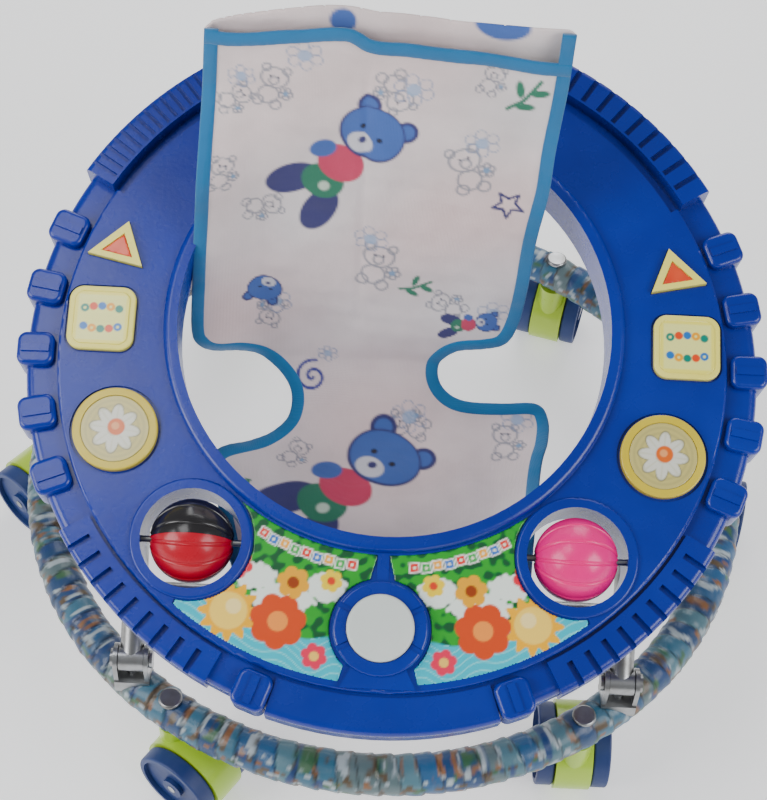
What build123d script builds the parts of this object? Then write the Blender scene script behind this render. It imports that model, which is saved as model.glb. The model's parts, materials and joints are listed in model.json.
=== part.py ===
from build123d import *
from math import atan2, cos, degrees, hypot, radians, sin, sqrt
import os

# Round folding baby walker, in millimetres. +Z is up and the floor is Z = 0. The child faces -Y,
# where the toys are. The origin is under the middle of the walker's outer box.

# The model is drawn about the base ring's middle, then moved so that the outer box is centred
BOX_X, BOX_Y = -9.14, -7.1
RING_Z = 85.0

# Base ring: a steel tube inside a padded, tape-wound sleeve
RING_R = 250.0
RING_TUBE_R = 9.5
RING_TUBE_WALL = 1.2
WRAP_R = 14.5
RING_SEAM = 23.0

# Tray: lower rim plane, tilted with its front low
TRAY_Y, TRAY_Z = -46.0, 272.0
TRAY_TILT = 22.9
DECK_Z = 31.0
SKIN = 3.0
MOUTH_R, MOUTH_Y = 137.0, 9.0
RIDGE_W, RIDGE_H = 9.0, 5.0

# Tray rim, about its own centre: the deck ends at a step down to a belt like a tyre's
RIM_Y = -11.0
RIM_TURN = 1.0
DECK_R = 211.0
BELT_R, BELT_Z = 232.0, 24.0
TREAD_R = 234.0
RIB_IN = 213.0
LIP_OUT = 218.5
GROOVE_IN = 205.0
REAR_TREAD = (30.4, 149.6)
FRONT_TREADS = ((-62.6, -30.4), (-149.6, -117.4))
FRONT_PLAIN = (-107.5, -72.5)
KNOB_R, KNOB_IN, KNOB_W = 237.0, 213.5, 22.0
KNOB_STEP = 10.65

# Leg tubes, their pivots and the rails under the tray
LEG_R = 8.0
LEG_WALL = 1.2
PIN_R = 4.0
PIN_GAP = 0.05
FRONT_LEG_X, REAR_LEG_X = 163.0, 188.0
PIVOT_Z = 116.0
EYE_R, EYE_W = 8.6, 16.6
RAIL_PIN_Z = -14.0
FRONT_TOP_Y, REAR_TOP_Y = 50.0, -110.0
RAIL_TRAVEL = 52.0
CHEEK_T = 3.0
CHEEK_GAP = 0.7
SCREW_Y, SCREW_R = 85.0, 1.5

# Toys on the tray
BALL_R = 26.0
BALL_X, BALL_Y = 118.0, -134.0
BALL_HOLE_R = 31.0
BALL_Z = DECK_Z - 8.0
BALL_BORE_R = 2.05
HUB_Y, HUB_R, BUTTON_R = -184.0, 29.0, 20.5
WINDOW_RING_R = 37.5
SQUARE_X, SQUARE_Y, SQUARE_W = 185.0, 4.0, 42.0
ROUND_X, ROUND_Y, ROUND_R = 170.0, -68.0, 26.5
PLATE_DEPTH = 1.6
PANEL_T, PANEL_SINK, PANEL_GAP = 0.8, 0.05, 0.4
TRIANGLE = [(198.0, 47.0), (173.0, 70.0), (162.0, 39.0)]

# Casters: place around the ring, and the way each one trails
CASTERS = {
    "front_left": (-123.0, -34.0),
    "front_right": (-56.0, 90.0),
    "left": (180.0, 140.0),
    "right": (0.0, 80.0),
    "rear_left": (120.0, 110.0),
    "rear_right": (58.0, 75.0),
}
WHEEL_R, WHEEL_W = 29.0, 12.0
TRAIL = 17.0
HOOD_R, HOOD_W = 31.0, 25.0
AXLE_R = 3.0
STEM_R = 4.0

# Seat
SEAT_T = 5.0
SEAT_FRONT_Y = -150.0
BACK_X, BACK_W, BACK_T = -6.0, 206.0, 11.0
BACK_FOOT = (3.0, 238.0)
BACK_HEAD = (36.6, 476.7)
BOARD_T = 3.0
BOARD_DROP = 24.0

MINZ = (Align.CENTER, Align.CENTER, Align.MIN)
MAXZ = (Align.CENTER, Align.CENTER, Align.MAX)
MINY = (Align.CENTER, Align.MIN, Align.CENTER)
TRAY_PLACE = Location((0, TRAY_Y, TRAY_Z), (TRAY_TILT, 0, 0))
SHIFT = Location((-BOX_X, -BOX_Y, 0))
BOXES = []


def tray_point(y, z):
    """World (Y, Z) of a point on the tray's middle plane, from the tray's own (y, z)."""
    t = radians(TRAY_TILT)
    return (TRAY_Y + y * cos(t) - z * sin(t), TRAY_Z + y * sin(t) + z * cos(t))


FRONT_FOOT = (-sqrt(RING_R**2 - FRONT_LEG_X**2), PIVOT_Z)
REAR_FOOT = (sqrt(RING_R**2 - REAR_LEG_X**2), PIVOT_Z)
FRONT_TOP = tray_point(FRONT_TOP_Y, RAIL_PIN_Z)
REAR_TOP = tray_point(REAR_TOP_Y, RAIL_PIN_Z)


def export(shape, name):
    """Write one sub-part in the walker's frame."""
    shape = SHIFT * shape
    shape.label = name
    BOXES.append(shape.bounding_box())
    export_step(shape, f"parts/{name}.step")


def polar(radius, azimuth):
    """XY of a point at this radius and azimuth in degrees."""
    return radius * cos(radians(azimuth)), radius * sin(radians(azimuth))


def rod(start, end, radius):
    """Solid round bar between two points."""
    a, b = Vector(*start), Vector(*end)
    return Plane(origin=a, z_dir=b - a) * Cylinder(radius, (b - a).length, align=MINZ)


def x_rod(x, y, z, radius, length):
    """Solid round bar along X, centred on a point."""
    return Pos(x, y, z) * Rot(0, 90, 0) * Cylinder(radius, length)


def group(shapes):
    """Separate solids kept together in one sub-part."""
    solids = [s for shape in shapes for s in shape.solids()]
    return Compound(children=solids)


# ---------------------------------------------------------------- base ring

def ring_bolt_places():
    """XY of each leg bracket's bolt on the ring's centre line."""
    feet = [(FRONT_LEG_X, FRONT_FOOT[0]), (REAR_LEG_X, REAR_FOOT[0])]
    return [(side * x, y) for x, y in feet for side in (-1, 1)]


def stem_places():
    """XY of each caster stem on the ring's centre line."""
    return {name: polar(RING_R, azimuth) for name, (azimuth, _) in CASTERS.items()}


def ring_holes():
    """Drillings for the caster stems, right through, and for the bracket bolts, from above."""
    stems = [Pos(x, y, RING_Z) * Cylinder(STEM_R + 0.05, 40) for x, y in stem_places().values()]
    bolts = [Pos(x, y, RING_Z) * Cylinder(2.6, 30, align=MINZ) for x, y in ring_bolt_places()]
    return stems + bolts


def base_ring_tube():
    """Bent steel tube that carries the casters and the leg brackets."""
    tube = Torus(RING_R, RING_TUBE_R) - Torus(RING_R, RING_TUBE_R - RING_TUBE_WALL)
    return Pos(0, 0, RING_Z) * Rot(0, 0, RING_SEAM) * tube - ring_holes()


def base_ring_wrap():
    """Padded sleeve over the whole ring."""
    sleeve = Torus(RING_R, WRAP_R) - Torus(RING_R, RING_TUBE_R + 0.1)
    return Pos(0, 0, RING_Z) * Rot(0, 0, RING_SEAM) * sleeve - ring_holes()


def leg_bracket(x, y):
    """Clevis on top of the ring: a saddle and two cheeks across the leg's foot."""
    inside = LEG_R + CHEEK_GAP
    saddle = Pos(x, y, RING_Z + 6) * Box(2 * (inside + CHEEK_T), 22, 11, align=MINZ)
    cheeks = []
    for side in (-1, 1):
        place = Pos(x + side * (inside + CHEEK_T / 2), y, 0)
        plate = place * Pos(0, 0, RING_Z + 6) * Box(CHEEK_T, 20, PIVOT_Z - RING_Z - 6, align=MINZ)
        cheeks.append(plate + place * x_rod(0, 0, PIVOT_Z, 10, CHEEK_T))
    body = saddle + cheeks
    body -= Pos(0, 0, RING_Z) * Torus(RING_R, WRAP_R + 0.1)
    body -= Pos(x, y, RING_Z) * Cylinder(2.6, 60)
    return body - x_rod(x, y, PIVOT_Z, PIN_R + PIN_GAP, 60)


def bracket_bolts():
    """Bolts that hold the four brackets down on the ring."""
    bolts = []
    for x, y in ring_bolt_places():
        shank = Pos(x, y, RING_Z + 1) * Cylinder(2.5, 16, align=MINZ)
        head = Pos(x, y, RING_Z + 17) * Cylinder(4.0, 2.5, align=MINZ)
        bolts.append(shank + head)
    return group(bolts)


def foot_pins():
    """Headed pins through the four brackets, one for each leg's foot."""
    pins = []
    for x, y in ring_bolt_places():
        outer = LEG_R + CHEEK_GAP + CHEEK_T
        pin = x_rod(x, y, PIVOT_Z, PIN_R, 2 * outer + 1)
        for side in (-1, 1):
            pin += x_rod(x + side * (outer + 1.3), y, PIVOT_Z, PIN_R + 2, 2)
        pins.append(pin)
    return group(pins)


# ---------------------------------------------------------------- legs

def leg(x, foot, top):
    """Steel leg tube with a bored eye at each end."""
    a, b = (x, *foot), (x, *top)
    direction = (Vector(*b) - Vector(*a)).normalized()
    inner_a = Vector(*a) + direction * 18
    inner_b = Vector(*b) - direction * 18
    body = rod(a, b, LEG_R) - rod(tuple(inner_a), tuple(inner_b), LEG_R - LEG_WALL)
    for y, z in (foot, top):
        body += x_rod(x, y, z, EYE_R, EYE_W)
    for y, z in (foot, top):
        body -= x_rod(x, y, z, PIN_R + PIN_GAP, 40)
    return body


def front_cross_tube():
    """Straight tie between the two front-hinged legs, just above their feet."""
    y0, z0 = FRONT_FOOT
    y1, z1 = FRONT_TOP
    run = hypot(y1 - y0, z1 - z0)
    reach = 46.0
    y = y0 + (y1 - y0) * reach / run
    z = z0 + (z1 - z0) * reach / run
    length = 2 * (FRONT_LEG_X - LEG_R - 0.1)
    return x_rod(0, y, z, 6, length) - x_rod(0, y, z, 4.8, length + 2)


def front_top_pins():
    """Pins that ride in the slotted rails, one through each front-hinged leg's top."""
    y, z = FRONT_TOP
    length = 2 * (LEG_R + CHEEK_GAP + CHEEK_T) + 2
    return group([x_rod(side * FRONT_LEG_X, y, z, PIN_R, length) for side in (-1, 1)])


# ---------------------------------------------------------------- tray

def sector(first, last):
    """Tall wedge about the rim's centre between two azimuths less than 180 degrees apart."""
    reach = 2 * KNOB_R
    corners = [(0, 0)] + [polar(reach, a) for a in (first, (first + last) / 2, last)]
    return extrude(make_face(Polyline(*corners, close=True)), 60)


def rim_segment(inner, outer, top, first, last, rounding):
    """Part of a ring with a rounded outer top edge."""
    ring = Cylinder(outer, top, align=MINZ)
    ring = fillet(ring.edges().sort_by(Axis.Z)[-1:], rounding)
    return (ring - Cylinder(inner, 100)) & sector(first, last)


def cross_grooves(first, last, count, width, inner, floor_z):
    """Cutters for evenly spaced radial grooves over a tread."""
    step = (last - first) / (count + 1)
    depth = KNOB_R + 5 - inner
    cutter = Pos(inner + depth / 2, 0, floor_z) * Box(depth, width, 30, align=MINZ)
    return [Rot(0, 0, first + step * (i + 1)) * cutter for i in range(count)]


def knob(azimuth):
    """One pillow-shaped lug over the edge of the deck, with a rib along its top."""
    depth = KNOB_R - KNOB_IN
    place = Rot(0, 0, azimuth) * Pos(KNOB_IN + depth / 2, 0, 0)
    block = Pos(0, 0, 4) * Box(depth, KNOB_W, DECK_Z - 4.5, align=MINZ)
    block = fillet(block.edges().filter_by(Axis.Z), 6)
    block = fillet(block.edges().group_by(Axis.Z)[-1], 3)
    rib = Pos(0, 0, DECK_Z - 2) * Box(depth - 6, 5, 3, align=MINZ)
    return place * (block + rib)


def knob_places():
    """Azimuths of the ten side knobs and of the two beside the plain front."""
    sides = [base + KNOB_STEP * k for base in (-0.5, 180.5) for k in (-2, -1, 0, 1, 2)]
    return sides + [-69.5, -110.5]


def rim():
    """Rounded belt, plain front, ribbed treads and knobs, about the rim's centre."""
    belt = fillet(Cylinder(BELT_R, BELT_Z, align=MINZ).edges().sort_by(Axis.Z)[-1:], 6)
    body = belt + rim_segment(RIB_IN, KNOB_R - 1, BELT_Z + 2, *FRONT_PLAIN, 5)
    for span in FRONT_TREADS:
        body += rim_segment(RIB_IN, TREAD_R, BELT_Z + 4, *span, 4)
    body += rim_segment(RIB_IN, TREAD_R, DECK_Z + 5, *REAR_TREAD, 4)
    cuts = []
    for first, last in FRONT_TREADS:
        cuts += cross_grooves(first, last, 9, 4, LIP_OUT, BELT_Z)
    first, last = REAR_TREAD
    middle = last - 32
    cuts += cross_grooves(first, middle, 26, 3.6, RIB_IN + 1.5, DECK_Z + 1)
    cuts += cross_grooves(middle, last, 18, 2.6, RIB_IN + 1.5, DECK_Z + 3)
    body -= cuts
    return body + [knob(azimuth) for azimuth in knob_places()]


def deck():
    """Raised deck with a rounded edge, set back from the rear tread by a channel."""
    plate = fillet(Cylinder(DECK_R, DECK_Z, align=MINZ).edges().sort_by(Axis.Z)[-1:], 2)
    channel = Pos(0, 0, BELT_Z + 2) * (Cylinder(RIB_IN, 20, align=MINZ)
                                       - Cylinder(GROOVE_IN, 20, align=MINZ))
    return plate - (channel & sector(*REAR_TREAD))


def tray_cavity():
    """Hollow under the deck, clear of the walls round the mouth, windows and hub."""
    cavity = Pos(0, RIM_Y, -1) * Cylinder(BELT_R - SKIN, BELT_Z - SKIN + 1, align=MINZ)
    cavity += Pos(0, RIM_Y, 0) * Cylinder(GROOVE_IN - SKIN, DECK_Z - SKIN, align=MINZ)
    cavity -= Pos(0, MOUTH_Y, -2) * Cylinder(MOUTH_R + SKIN, 60, align=MINZ)
    for side in (-1, 1):
        cavity -= Pos(side * BALL_X, BALL_Y, -2) * Cylinder(BALL_HOLE_R + 2, 60, align=MINZ)
    return cavity - Pos(0, HUB_Y, -2) * Cylinder(BUTTON_R + 2.4, 60, align=MINZ)


def tray_shell():
    """Moulded tray: deck, tyre-like rim, raised ridge and wall round the seat opening."""
    body = Pos(0, RIM_Y, 0) * Rot(0, 0, RIM_TURN) * (rim() + deck())
    ridge = Pos(0, MOUTH_Y, 0) * Cylinder(MOUTH_R + RIDGE_W, DECK_Z + RIDGE_H, align=MINZ)
    body += fillet(ridge.edges().sort_by(Axis.Z)[-1:], 4)
    body -= tray_cavity()
    body -= Pos(0, MOUTH_Y, -20) * Cylinder(MOUTH_R, 80, align=MINZ)
    for side in (-1, 1):
        window = Pos(side * BALL_X, BALL_Y, 0)
        ring = window * Pos(0, 0, DECK_Z - 1) * Cylinder(WINDOW_RING_R, 3.5, align=MINZ)
        body += fillet(ring.edges().sort_by(Axis.Z)[-1:], 1.5)
        body -= window * Pos(0, 0, -20) * Cylinder(BALL_HOLE_R, 80, align=MINZ)
        body -= x_rod(side * BALL_X, BALL_Y, BALL_Z, BALL_BORE_R, 2 * BALL_HOLE_R + 3.6)
    body += hub_surround()
    body -= Pos(0, HUB_Y, -20) * Cylinder(BUTTON_R + 0.4, 80, align=MINZ)
    for side in (-1, 1):
        body -= plate_recesses(side)
    return body


def hub_surround():
    """Raised ring round the button with four notches, and a flared foot down to the front rim."""
    ring = Pos(0, HUB_Y, DECK_Z - 1) * Cylinder(HUB_R, 7, align=MINZ)
    ring = fillet(ring.edges().sort_by(Axis.Z)[-1:], 2)
    half = [(17, HUB_Y - 16), (17, HUB_Y - 25), (23, HUB_Y - 36)]
    foot = make_face(Polyline(*half, *[(-x, y) for x, y in reversed(half)], close=True))
    body = ring + Pos(0, 0, DECK_Z - 1) * extrude(foot, 4.5)
    notch = Pos(HUB_R - 4, 0, DECK_Z + 4.8) * Box(12, 3.6, 5, align=MINZ)
    return body - [Pos(0, HUB_Y, 0) * Rot(0, 0, a) * notch for a in (28, 152, 208, 332)]


def plate_recesses(side):
    """Shallow seats for the square, round and triangular plates and for the picture panel."""
    floor_z = DECK_Z - PLATE_DEPTH
    square = Pos(side * SQUARE_X, SQUARE_Y, floor_z) * Box(SQUARE_W + 3, SQUARE_W + 3, 10, align=MINZ)
    square = fillet(square.edges().filter_by(Axis.Z), 10.5)
    disc = Pos(side * ROUND_X, ROUND_Y, floor_z) * Cylinder(ROUND_R + 2, 10, align=MINZ)
    corners = [(side * x, y) for x, y in TRIANGLE]
    triangle = Pos(0, 0, floor_z) * extrude(offset_triangle(corners, 0.4), 10)
    panel_floor = DECK_Z - PANEL_T - 2 * PANEL_SINK
    panel = Pos(0, 0, panel_floor) * extrude(label_outline(side, PANEL_GAP), 10)
    return [square, disc, triangle, panel]


def offset_triangle(corners, grow):
    """Triangle face with its corners moved out from its middle."""
    cx = sum(x for x, _ in corners) / 3
    cy = sum(y for _, y in corners) / 3
    out = []
    for x, y in corners:
        d = hypot(x - cx, y - cy)
        out.append((x + (x - cx) * grow / d, y + (y - cy) * grow / d))
    return make_face(Polyline(*out, close=True))


def tray_underplate():
    """Flat plate that closes the tray from below."""
    plate = Pos(0, RIM_Y, 0) * Cylinder(BELT_R - SKIN - 0.3, 2.4, align=MINZ)
    plate -= Pos(0, MOUTH_Y, -1) * Cylinder(MOUTH_R + SKIN + 0.3, 6, align=MINZ)
    for side in (-1, 1):
        plate -= Pos(side * BALL_X, BALL_Y, -1) * Cylinder(BALL_HOLE_R + 2.3, 6, align=MINZ)
        plate -= Pos(side * FRONT_LEG_X, SCREW_Y, -1) * Cylinder(SCREW_R + 0.1, 6, align=MINZ)
    return plate - Pos(0, HUB_Y, -1) * Cylinder(BUTTON_R + 2.7, 6, align=MINZ)


def rail(side):
    """Slotted channel under the tray that a front-hinged leg's pin slides along."""
    y0, y1 = FRONT_TOP_Y - 22, FRONT_TOP_Y + RAIL_TRAVEL + 22
    x = side * FRONT_LEG_X
    inside = LEG_R + CHEEK_GAP
    top = Pos(x, (y0 + y1) / 2, -0.1) * Box(2 * (inside + CHEEK_T), y1 - y0, 2.4, align=MAXZ)
    body = top
    for edge in (-1, 1):
        body += Pos(x + edge * (inside + CHEEK_T / 2), (y0 + y1) / 2, -0.1) * Box(
            CHEEK_T, y1 - y0, 27, align=MAXZ)
    s0, s1 = FRONT_TOP_Y - 6, FRONT_TOP_Y + RAIL_TRAVEL + 6
    slot = Pos(x, (s0 + s1) / 2, RAIL_PIN_Z) * Box(40, s1 - s0, 15.2)
    return body - slot


def rear_leg_bracket(side):
    """Clevis under the tray that the rear-hinged leg's top turns in."""
    x = side * REAR_LEG_X
    inside = LEG_R + CHEEK_GAP
    body = Pos(x, REAR_TOP_Y, -0.1) * Box(2 * (inside + CHEEK_T), 22, 2.4, align=MAXZ)
    for edge in (-1, 1):
        place = Pos(x + edge * (inside + CHEEK_T / 2), REAR_TOP_Y, 0)
        body += place * Pos(0, 0, -0.1) * Box(CHEEK_T, 18, 14, align=MAXZ)
        body += place * x_rod(0, 0, RAIL_PIN_Z, 9, CHEEK_T)
    return body - x_rod(x, REAR_TOP_Y, RAIL_PIN_Z, PIN_R + PIN_GAP, 40)


def rear_top_pins():
    """Headed pins of the two rear leg brackets under the tray."""
    pins = []
    outer = LEG_R + CHEEK_GAP + CHEEK_T
    for side in (-1, 1):
        x = side * REAR_LEG_X
        pin = x_rod(x, REAR_TOP_Y, RAIL_PIN_Z, PIN_R, 2 * outer + 1)
        pin += x_rod(x + side * (outer + 1.3), REAR_TOP_Y, RAIL_PIN_Z, PIN_R + 2, 2)
        pins.append(pin)
    return group(pins)


def tray_screws():
    """Screw shanks that hold the two rails to the underplate, one above each rail."""
    return group([Pos(side * FRONT_LEG_X, SCREW_Y, 0) * Cylinder(SCREW_R, 8, align=MINZ)
                  for side in (-1, 1)])


def square_plate(side):
    """Rounded square picture plate."""
    plate = Pos(side * SQUARE_X, SQUARE_Y, DECK_Z - 1.5) * Box(SQUARE_W, SQUARE_W, 4, align=MINZ)
    plate = fillet(plate.edges().filter_by(Axis.Z), 9)
    return fillet(plate.edges().group_by(Axis.Z)[-1], 1)


def round_plate(side):
    """Round plate with a raised edge."""
    plate = Pos(side * ROUND_X, ROUND_Y, DECK_Z - 1.5) * Cylinder(ROUND_R, 5, align=MINZ)
    plate = fillet(plate.edges().sort_by(Axis.Z)[-1:], 1)
    return plate - Pos(side * ROUND_X, ROUND_Y, DECK_Z + 2.7) * Cylinder(ROUND_R - 5, 5, align=MINZ)


def triangle_plate(side):
    """Triangular plate with a raised border."""
    corners = [(side * x, y) for x, y in TRIANGLE]
    plate = Pos(0, 0, DECK_Z - 1.5) * extrude(offset_triangle(corners, -0.6), 5)
    return plate - Pos(0, 0, DECK_Z + 2.5) * extrude(offset_triangle(corners, -9), 5)


def label_outline(side, grow=0.0):
    """Butterfly-wing outline of a picture panel between a ball window and the hub, grown for its seat."""
    gap = 4.0 - grow
    annulus = Pos(0, RIM_Y) * Circle(DECK_R - 5 + grow)
    annulus -= Pos(0, MOUTH_Y) * Circle(MOUTH_R + RIDGE_W + 2 - grow)
    wedge = make_face(Polyline((gap * side, -60), (gap * side, -260), (side * (160 + grow), -260),
                               (side * (81 + grow), -60), close=True))
    wing = annulus & wedge
    wing -= Pos(side * BALL_X, BALL_Y) * Circle(WINDOW_RING_R + 1 - grow)
    wing -= Pos(0, HUB_Y) * Circle(HUB_R + 2 - grow)
    return wing - Pos(0, HUB_Y - 37) * Rectangle(48 - 2 * grow, 40)


def label_panel(side):
    """Thin picture panel sunk just below the deck."""
    return Pos(0, 0, DECK_Z - PANEL_T - PANEL_SINK) * extrude(label_outline(side), PANEL_T)


# ---------------------------------------------------------------- toys

def ball_shell(side, front, back):
    """Grooved hollow ball, from a front to a back distance about its middle, bored for its axle."""
    ball = Sphere(BALL_R) - Sphere(BALL_R - 3)
    for k in range(6):
        ball -= Rot(15 + 30 * k, 0, 0) * Torus(BALL_R + 0.7, 1.6)
    ball -= x_rod(0, 0, 0, 4.5, 3 * BALL_R)
    for end in (-1, 1):
        ball += x_rod(end * (BALL_R - 4), 0, 0, 4.6, 5)
    ball -= x_rod(0, 0, 0, BALL_BORE_R, 3 * BALL_R)
    ball &= Pos(0, (front + back) / 2, 0) * Box(80, back - front, 80)
    return Pos(side * BALL_X, BALL_Y, BALL_Z) * ball


def ball_axle(side):
    """Straight axle across a ball window."""
    return x_rod(side * BALL_X, BALL_Y, BALL_Z, 2.0, 2 * BALL_HOLE_R + 3)


def hub_button():
    """White round push button."""
    cap = Pos(0, HUB_Y, DECK_Z - 14) * Cylinder(BUTTON_R, 23, align=MINZ)
    cap = fillet(cap.edges().sort_by(Axis.Z)[-1:], 2)
    return cap - Pos(0, HUB_Y, DECK_Z - 15) * Cylinder(BUTTON_R - 2.5, 20, align=MINZ)


def hub_cup():
    """Cup under the button that its spring stands in."""
    floor_z = DECK_Z - 26
    cup = Pos(0, HUB_Y, floor_z) * Cylinder(BUTTON_R + 0.2, 2.5, align=MINZ)
    return cup


def hub_spring():
    """Return spring of the button, kept as a plain sleeve at the coil's pressed length."""
    z0, z1 = DECK_Z - 23.4, DECK_Z + 0.4
    sleeve = Cylinder(10, z1 - z0, align=MINZ) - Cylinder(8.4, z1 - z0, align=MINZ)
    return Pos(0, HUB_Y, z0) * sleeve


# ---------------------------------------------------------------- seat

def seat_side_profile():
    """Side view of the sling's top face: from under the tray's front to the backrest's foot."""
    front = tray_point(SEAT_FRONT_Y, -0.4)
    return [front, (-150.0, 203.0), (-95.0, 197.0), (-45.0, 192.0), (-14.0, 195.0), (-2.0, 209.0),
            (3.5, 237.3)]


def seat_outline():
    """Plan of the sling: a wide front flap, a narrow crotch and a wide foot of the backrest."""
    right = [(86, -190), (100, -140), (110, -92), (113, -60), (104, -26), (60, -24), (46, -12),
             (50, 2), (76, 12)]
    left = [(-84, -190), (-98, -140), (-109, -86), (-88, -71), (-64, -54), (-56, -36), (-62, -14),
            (-82, 0), (-100, 12)]
    return right + list(reversed(left))


def seat_sling():
    """Sling from under the front of the tray to the foot of the backrest, narrow at the crotch."""
    top = seat_side_profile()
    flat, (knee, shin, foot) = top[:-3], top[-3:]
    under = [(y, z - SEAT_T) for y, z in flat]
    under += [(knee[0] + 3, knee[1] - SEAT_T), (shin[0] + SEAT_T, shin[1] - 1), (foot[0] + SEAT_T, foot[1])]
    side_face = Plane.YZ * make_face(Polyline(*top, *reversed(under), close=True))
    band = extrude(side_face, 130, both=True)
    plan = make_face(Polyline(*seat_outline(), close=True))
    return band & extrude(plan, 400)


def backrest_place():
    """Plane of the backrest: its origin at the foot, its Y up the back."""
    y0, z0 = BACK_FOOT
    y1, z1 = BACK_HEAD
    up = Vector(0, y1 - y0, z1 - z0).normalized()
    return Plane(origin=(BACK_X, y0, z0), x_dir=(1, 0, 0), z_dir=Vector(1, 0, 0).cross(up))


def backrest_height():
    """Length of the backrest from foot to head."""
    return hypot(BACK_HEAD[0] - BACK_FOOT[0], BACK_HEAD[1] - BACK_FOOT[1])


def backrest_pad():
    """Padded fabric pocket with the stiff board inside."""
    h = backrest_height()
    pad = fillet(Box(BACK_W, h, BACK_T, align=MINY).edges(), 4)
    slot = Pos(0, 12, 0) * Box(BACK_W - 24, h, BOARD_T + 0.6, align=MINY)
    return backrest_place() * (pad - slot)


def backrest_board():
    """Stiff board that keeps the backrest flat."""
    length = backrest_height() - BOARD_DROP
    board = Pos(0, 13, 0) * Box(BACK_W - 28, length - 13, BOARD_T, align=MINY)
    return backrest_place() * fillet(board.edges().filter_by(Axis.Z), 8)


# ---------------------------------------------------------------- casters

def caster_stem(x, y):
    """Rivet-headed stem through the ring."""
    stem = Pos(x, y, 52) * Cylinder(STEM_R, RING_Z + WRAP_R - 52, align=MINZ)
    head = Pos(x, y, RING_Z + WRAP_R) * Cylinder(8, 2.5, align=MINZ)
    head = fillet(head.edges().sort_by(Axis.Z)[-1:], 1.5)
    return stem + head


def caster_place(name):
    """Caster frame: origin on the floor under the wheel, X the way it trails."""
    azimuth, heading = CASTERS[name]
    x, y = polar(RING_R, azimuth)
    dx, dy = polar(TRAIL, heading)
    return Location((x + dx, y + dy, 0), (0, 0, heading))


def caster_housing():
    """Hooded body between the two wheels, with a collar for the stem."""
    hood = Pos(0, 0, WHEEL_R) * Cylinder(HOOD_R, HOOD_W, rotation=(90, 0, 0))
    hood -= Pos(0, 0, -10) * Box(100, 100, 22, align=MINZ)
    collar = Pos(-TRAIL, 0, 40) * Cylinder(10, RING_Z - WRAP_R - 0.5 - 40, align=MINZ)
    body = hood + collar
    body -= Pos(-TRAIL, 0, 51) * Cylinder(STEM_R + 0.05, 60, align=MINZ)
    return body - Pos(0, 0, WHEEL_R) * Cylinder(AXLE_R + 0.05, 100, rotation=(90, 0, 0))


def caster_wheels():
    """The twin discs of one caster."""
    discs = []
    for side in (-1, 1):
        y = side * (HOOD_W / 2 + 0.6 + WHEEL_W / 2)
        disc = Pos(0, y, WHEEL_R) * Cylinder(WHEEL_R, WHEEL_W, rotation=(90, 0, 0))
        disc = fillet(disc.edges(), 1.5)
        disc -= Pos(0, y + side * 5, WHEEL_R) * (
            Cylinder(WHEEL_R - 4, 5, rotation=(90, 0, 0)) - Cylinder(8, 5, rotation=(90, 0, 0)))
        disc -= Pos(0, y, WHEEL_R) * Cylinder(AXLE_R, 30, rotation=(90, 0, 0))
        discs.append(disc)
    return group(discs)


def caster_axle():
    """Steel axle that both discs are pressed on."""
    length = HOOD_W + 2 * WHEEL_W + 2
    return Pos(0, 0, WHEEL_R) * Cylinder(AXLE_R, length, rotation=(90, 0, 0))


# ---------------------------------------------------------------- build

def build_base():
    export(base_ring_tube(), "base_ring_tube")
    export(base_ring_wrap(), "base_ring_wrap")
    for side, word in ((-1, "left"), (1, "right")):
        export(leg_bracket(side * FRONT_LEG_X, FRONT_FOOT[0]), f"front_foot_bracket_{word}")
        export(leg_bracket(side * REAR_LEG_X, REAR_FOOT[0]), f"rear_foot_bracket_{word}")
    export(bracket_bolts(), "bracket_bolts")
    export(foot_pins(), "foot_pins")
    export(group([caster_stem(x, y) for x, y in stem_places().values()]), "caster_stems")


def build_legs():
    for side, word in ((-1, "left"), (1, "right")):
        export(leg(side * FRONT_LEG_X, FRONT_FOOT, FRONT_TOP), f"front_leg_{word}")
        export(leg(side * REAR_LEG_X, REAR_FOOT, REAR_TOP), f"rear_leg_{word}")
    export(front_cross_tube(), "front_cross_tube")
    export(front_top_pins(), "front_top_pins")


def build_tray():
    export(TRAY_PLACE * tray_shell(), "tray_shell")
    export(TRAY_PLACE * tray_underplate(), "tray_underplate")
    export(TRAY_PLACE * tray_screws(), "rail_screws")
    export(TRAY_PLACE * rear_top_pins(), "rear_top_pins")
    for side, word in ((-1, "left"), (1, "right")):
        export(TRAY_PLACE * rail(side), f"height_rail_{word}")
        export(TRAY_PLACE * rear_leg_bracket(side), f"rear_leg_bracket_{word}")
        export(TRAY_PLACE * square_plate(side), f"square_plate_{word}")
        export(TRAY_PLACE * round_plate(side), f"round_plate_{word}")
        export(TRAY_PLACE * triangle_plate(side), f"triangle_plate_{word}")
        export(TRAY_PLACE * label_panel(side), f"picture_panel_{word}")
        export(TRAY_PLACE * ball_axle(side), f"ball_axle_{word}")
    export(TRAY_PLACE * ball_shell(-1, 0.05, BALL_R), "ball_left_black_half")
    export(TRAY_PLACE * ball_shell(-1, -BALL_R, -0.05), "ball_left_red_half")
    export(TRAY_PLACE * ball_shell(1, -BALL_R, BALL_R), "ball_right")
    export(TRAY_PLACE * hub_button(), "hub_button")
    export(TRAY_PLACE * hub_cup(), "hub_cup")
    export(TRAY_PLACE * hub_spring(), "hub_spring")


def build_seat():
    export(seat_sling(), "seat_sling")
    export(backrest_pad(), "backrest_pad")
    export(backrest_board(), "backrest_board")


def build_casters():
    for name in CASTERS:
        place = caster_place(name)
        export(place * caster_housing(), f"caster_{name}_housing")
        export(place * caster_wheels(), f"caster_{name}_wheels")
        export(place * caster_axle(), f"caster_{name}_axle")


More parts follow.
